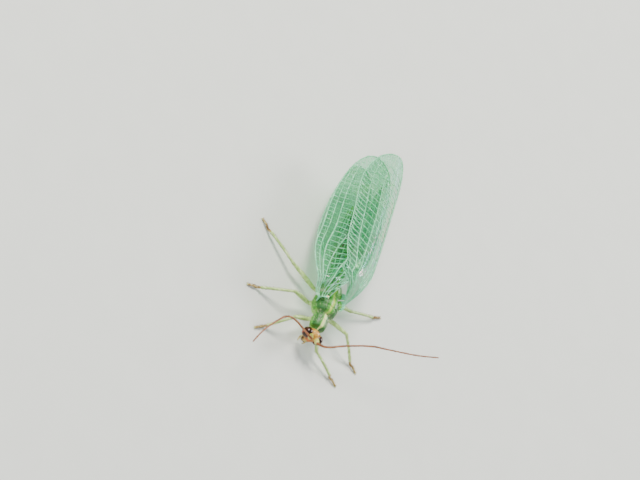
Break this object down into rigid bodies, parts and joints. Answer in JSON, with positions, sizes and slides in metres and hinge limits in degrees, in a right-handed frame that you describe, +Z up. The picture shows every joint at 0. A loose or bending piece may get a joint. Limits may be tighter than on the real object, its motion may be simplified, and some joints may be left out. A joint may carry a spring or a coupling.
{
  "type": "green lacewing model",
  "caption": "Life-size still model of a green lacewing at rest, its clear veined wings folded like a roof over a slim green body.",
  "frame": {"origin": "middle of the bounding box at the level of the feet", "axes": "+Z up from the ground, +Y from the head towards the tail, +X to the insect's left"},
  "size_m": [0.0154, 0.0212, 0.0045],
  "materials": {
    "abdomen_cuticle": "satin",
    "thorax_cuticle": "satin",
    "head_cuticle": "satin",
    "mouthpart_cuticle": "satin",
    "eye_facets": "gloss",
    "antenna_cuticle": "satin",
    "wing_membrane": "gloss",
    "leg_cuticle": "satin",
    "tarsus_cuticle": "satin"
  },
  "bodies": {
    "root": {"abdomen": "abdomen_cuticle", "antenna_left": "antenna_cuticle", "antenna_right": "antenna_cuticle", "eye_left": "eye_facets", "eye_right": "eye_facets", "femur_fore_left": "leg_cuticle", "femur_fore_right": "leg_cuticle", "femur_hind_left": "leg_cuticle", "femur_hind_right": "leg_cuticle", "femur_mid_left": "leg_cuticle", "femur_mid_right": "leg_cuticle", "forewing_left": "wing_membrane", "forewing_right": "wing_membrane", "head": "head_cuticle", "hindwing_left": "wing_membrane", "hindwing_right": "wing_membrane", "mesothorax": "thorax_cuticle", "metathorax": "thorax_cuticle", "mouthparts": "mouthpart_cuticle", "prothorax": "thorax_cuticle", "tarsus_fore_left": "tarsus_cuticle", "tarsus_fore_right": "tarsus_cuticle", "tarsus_hind_left": "tarsus_cuticle", "tarsus_hind_right": "tarsus_cuticle", "tarsus_mid_left": "tarsus_cuticle", "tarsus_mid_right": "tarsus_cuticle", "tibia_fore_left": "leg_cuticle", "tibia_fore_right": "leg_cuticle", "tibia_hind_left": "leg_cuticle", "tibia_hind_right": "leg_cuticle", "tibia_mid_left": "leg_cuticle", "tibia_mid_right": "leg_cuticle"}
  },
  "joints": []
}
